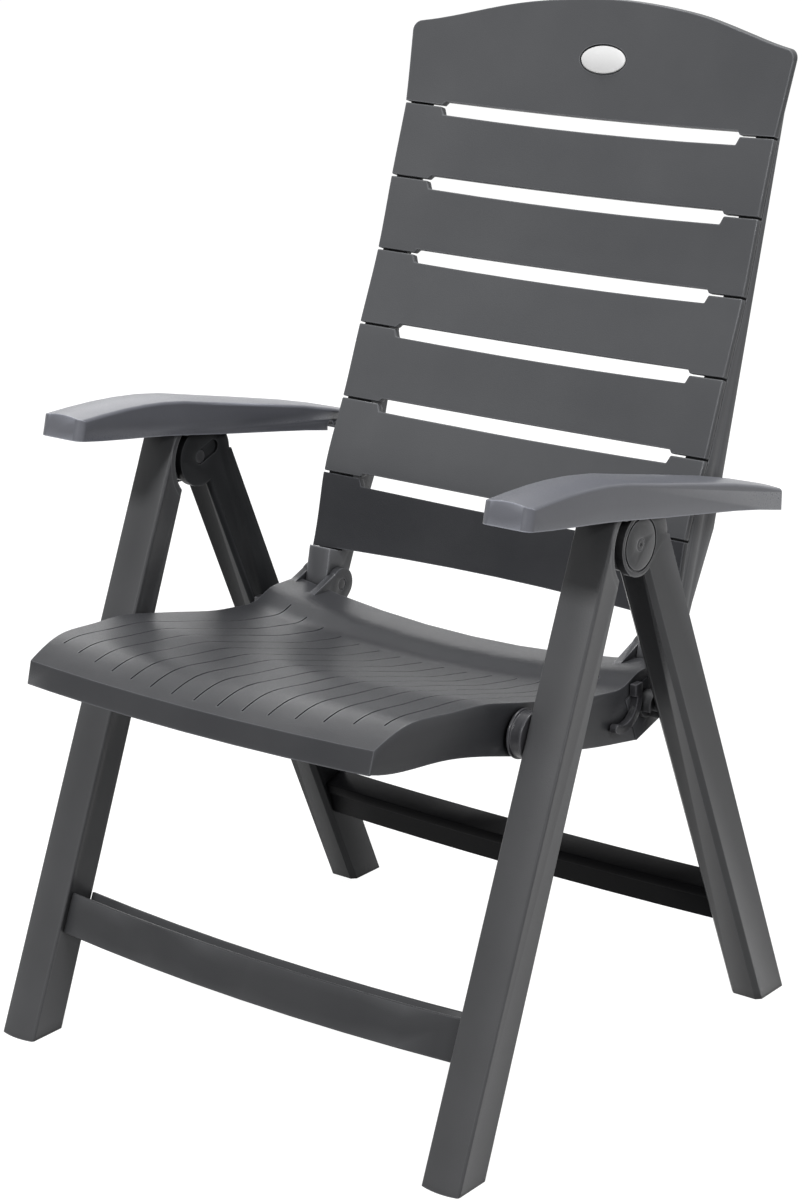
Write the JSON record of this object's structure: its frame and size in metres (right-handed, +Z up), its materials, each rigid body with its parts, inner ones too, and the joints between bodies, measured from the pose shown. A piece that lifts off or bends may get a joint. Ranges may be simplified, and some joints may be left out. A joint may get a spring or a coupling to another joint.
{
  "type": "reclining garden armchair",
  "caption": "Folding multi-position garden armchair in dark moulded resin, with a slatted bowed back, a dished grooved seat, channel armrests and crossed legs.",
  "frame": {"origin": "on the floor, below the centre of the armchair's bounding box", "axes": "+Z up, +X to the sitter's left, and the sitter faces -Y"},
  "size_m": [0.59, 0.7035, 1.008],
  "materials": {
    "resin": "fine matte moulded",
    "panel_resin": "fine matte moulded",
    "armrest_resin": "fine satin moulded",
    "pin_resin": "smooth moulded",
    "badge": "smooth white"
  },
  "bodies": {
    "front_frame": {"front_leg_left": "resin", "front_leg_right": "resin", "front_crossbar": "resin", "seat_pivot_left": "pin_resin", "seat_pivot_right": "pin_resin", "leg_hinge_pin_left": "pin_resin", "leg_hinge_pin_right": "pin_resin", "arm_pivot_pin_left": "pin_resin", "arm_pivot_pin_right": "pin_resin"},
    "seat": {"seat": "resin", "seat_catch_left": "pin_resin", "seat_catch_right": "pin_resin", "seat_claw_left": "resin", "seat_claw_right": "resin", "back_hinge_pin_left": "pin_resin", "back_hinge_pin_right": "pin_resin"},
    "rear_frame": {"rear_leg_left": "resin", "rear_leg_right": "resin", "rest_stub_left": "resin", "rest_stub_right": "resin", "rear_crossbar": "resin"},
    "backrest": {"back_stile_left": "resin", "back_stile_right": "resin", "back_top_panel": "panel_resin", "back_slat_1": "panel_resin", "back_slat_2": "panel_resin", "back_slat_3": "panel_resin", "back_slat_4": "panel_resin", "back_slat_5": "panel_resin", "back_bottom_panel": "panel_resin", "badge": "badge", "recline_pin_left": "pin_resin", "recline_pin_right": "pin_resin"},
    "armrest_left": {"armrest_left": "armrest_resin"},
    "armrest_right": {"armrest_right": "armrest_resin"}
  },
  "joints": [
    {"name": "frame_fold", "type": "hinge", "parent": "seat", "child": "front_frame", "pos_m": [0, -0.13875, 0.388], "axis": [-1, 0, 0], "range_deg": [0, 54]},
    {"name": "rear_leg_fold", "type": "hinge", "parent": "front_frame", "child": "rear_frame", "pos_m": [0, -0.03175, 0.556], "axis": [1, 0, 0], "range_deg": [-42.1, 0]},
    {"name": "arm_fold_left", "type": "hinge", "parent": "front_frame", "child": "armrest_left", "pos_m": [0, -0.05675, 0.595], "axis": [1, 0, 0], "range_deg": [0, 63.8]},
    {"name": "arm_fold_right", "type": "hinge", "parent": "front_frame", "child": "armrest_right", "pos_m": [0, -0.05675, 0.595], "axis": [1, 0, 0], "range_deg": [0, 63.8]},
    {"name": "back_tilt", "type": "hinge", "parent": "seat", "child": "backrest", "pos_m": [0, 0.12425, 0.392], "axis": [-1, 0, 0], "range_deg": [-7, 64]}
  ],
  "couplings": [
    {"joint": "rear_leg_fold", "follows": "frame_fold", "ratio": -0.778},
    {"joint": "arm_fold_left", "follows": "frame_fold", "ratio": 1.18},
    {"joint": "arm_fold_right", "follows": "frame_fold", "ratio": 1.18}
  ]
}
